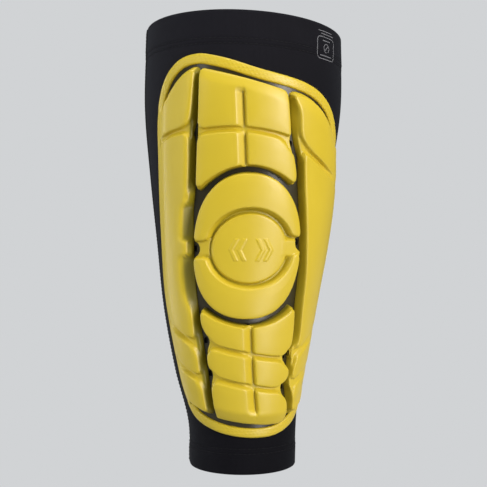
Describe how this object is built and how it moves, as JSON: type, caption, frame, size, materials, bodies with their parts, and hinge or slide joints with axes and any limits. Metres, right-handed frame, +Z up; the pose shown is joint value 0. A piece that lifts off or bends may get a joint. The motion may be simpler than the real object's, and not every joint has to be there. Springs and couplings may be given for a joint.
{
  "type": "shin guard",
  "caption": "Calf sleeve shin guard: a tapered knitted compression sleeve with a moulded, segmented foam pad bonded to the shin side.",
  "frame": {"origin": "on the leg's axis, in the plane of the ankle edge of the sleeve", "axes": "+Z up the leg towards the knee, -Y out of the shin, +X towards the side where the knee edge is lower and the wing is wider"},
  "size_m": [0.1275, 0.1344, 0.277],
  "materials": {
    "knit": "fine compression knit with a faint sheen",
    "mesh_knit": "ventilated mesh knit, matte",
    "thread": "flat overlocked polyester thread",
    "print": "thin heat-transfer print",
    "film": "dark translucent film, semi-gloss",
    "skin": "moulded elastomer skin, satin with a very fine grain",
    "foam": "closed-cell impact foam, matte"
  },
  "bodies": {
    "root": {"sleeve_front_panel": "knit", "sleeve_calf_panel": "mesh_knit", "left_side_seam": "thread", "right_side_seam": "thread", "knee_hem": "knit", "knee_hem_stitching": "thread", "ankle_hem": "knit", "ankle_hem_stitching": "thread", "care_print": "print", "backing_film": "film", "pad_rim": "skin", "left_wing_skin": "skin", "right_wing_skin": "skin", "upper_block_skin": "skin", "medallion_skin": "skin", "lower_block_skin": "skin", "foam_left_wing_knee": "foam", "foam_left_wing_shin": "foam", "foam_left_wing_lower": "foam", "foam_left_wing_ankle": "foam", "foam_right_wing_knee": "foam", "foam_right_wing_shin": "foam", "foam_right_wing_lower": "foam", "foam_right_wing_ankle": "foam", "foam_upper_top_left": "foam", "foam_upper_top_right": "foam", "foam_upper_low_left": "foam", "foam_upper_low_right": "foam", "foam_crescent_upper": "foam", "foam_crescent_lower": "foam", "foam_disc": "foam", "foam_lower_top_left": "foam", "foam_lower_top_right": "foam", "foam_lower_middle_left": "foam", "foam_lower_middle_right": "foam", "foam_lower_end_left": "foam", "foam_lower_end_right": "foam"}
  },
  "joints": []
}
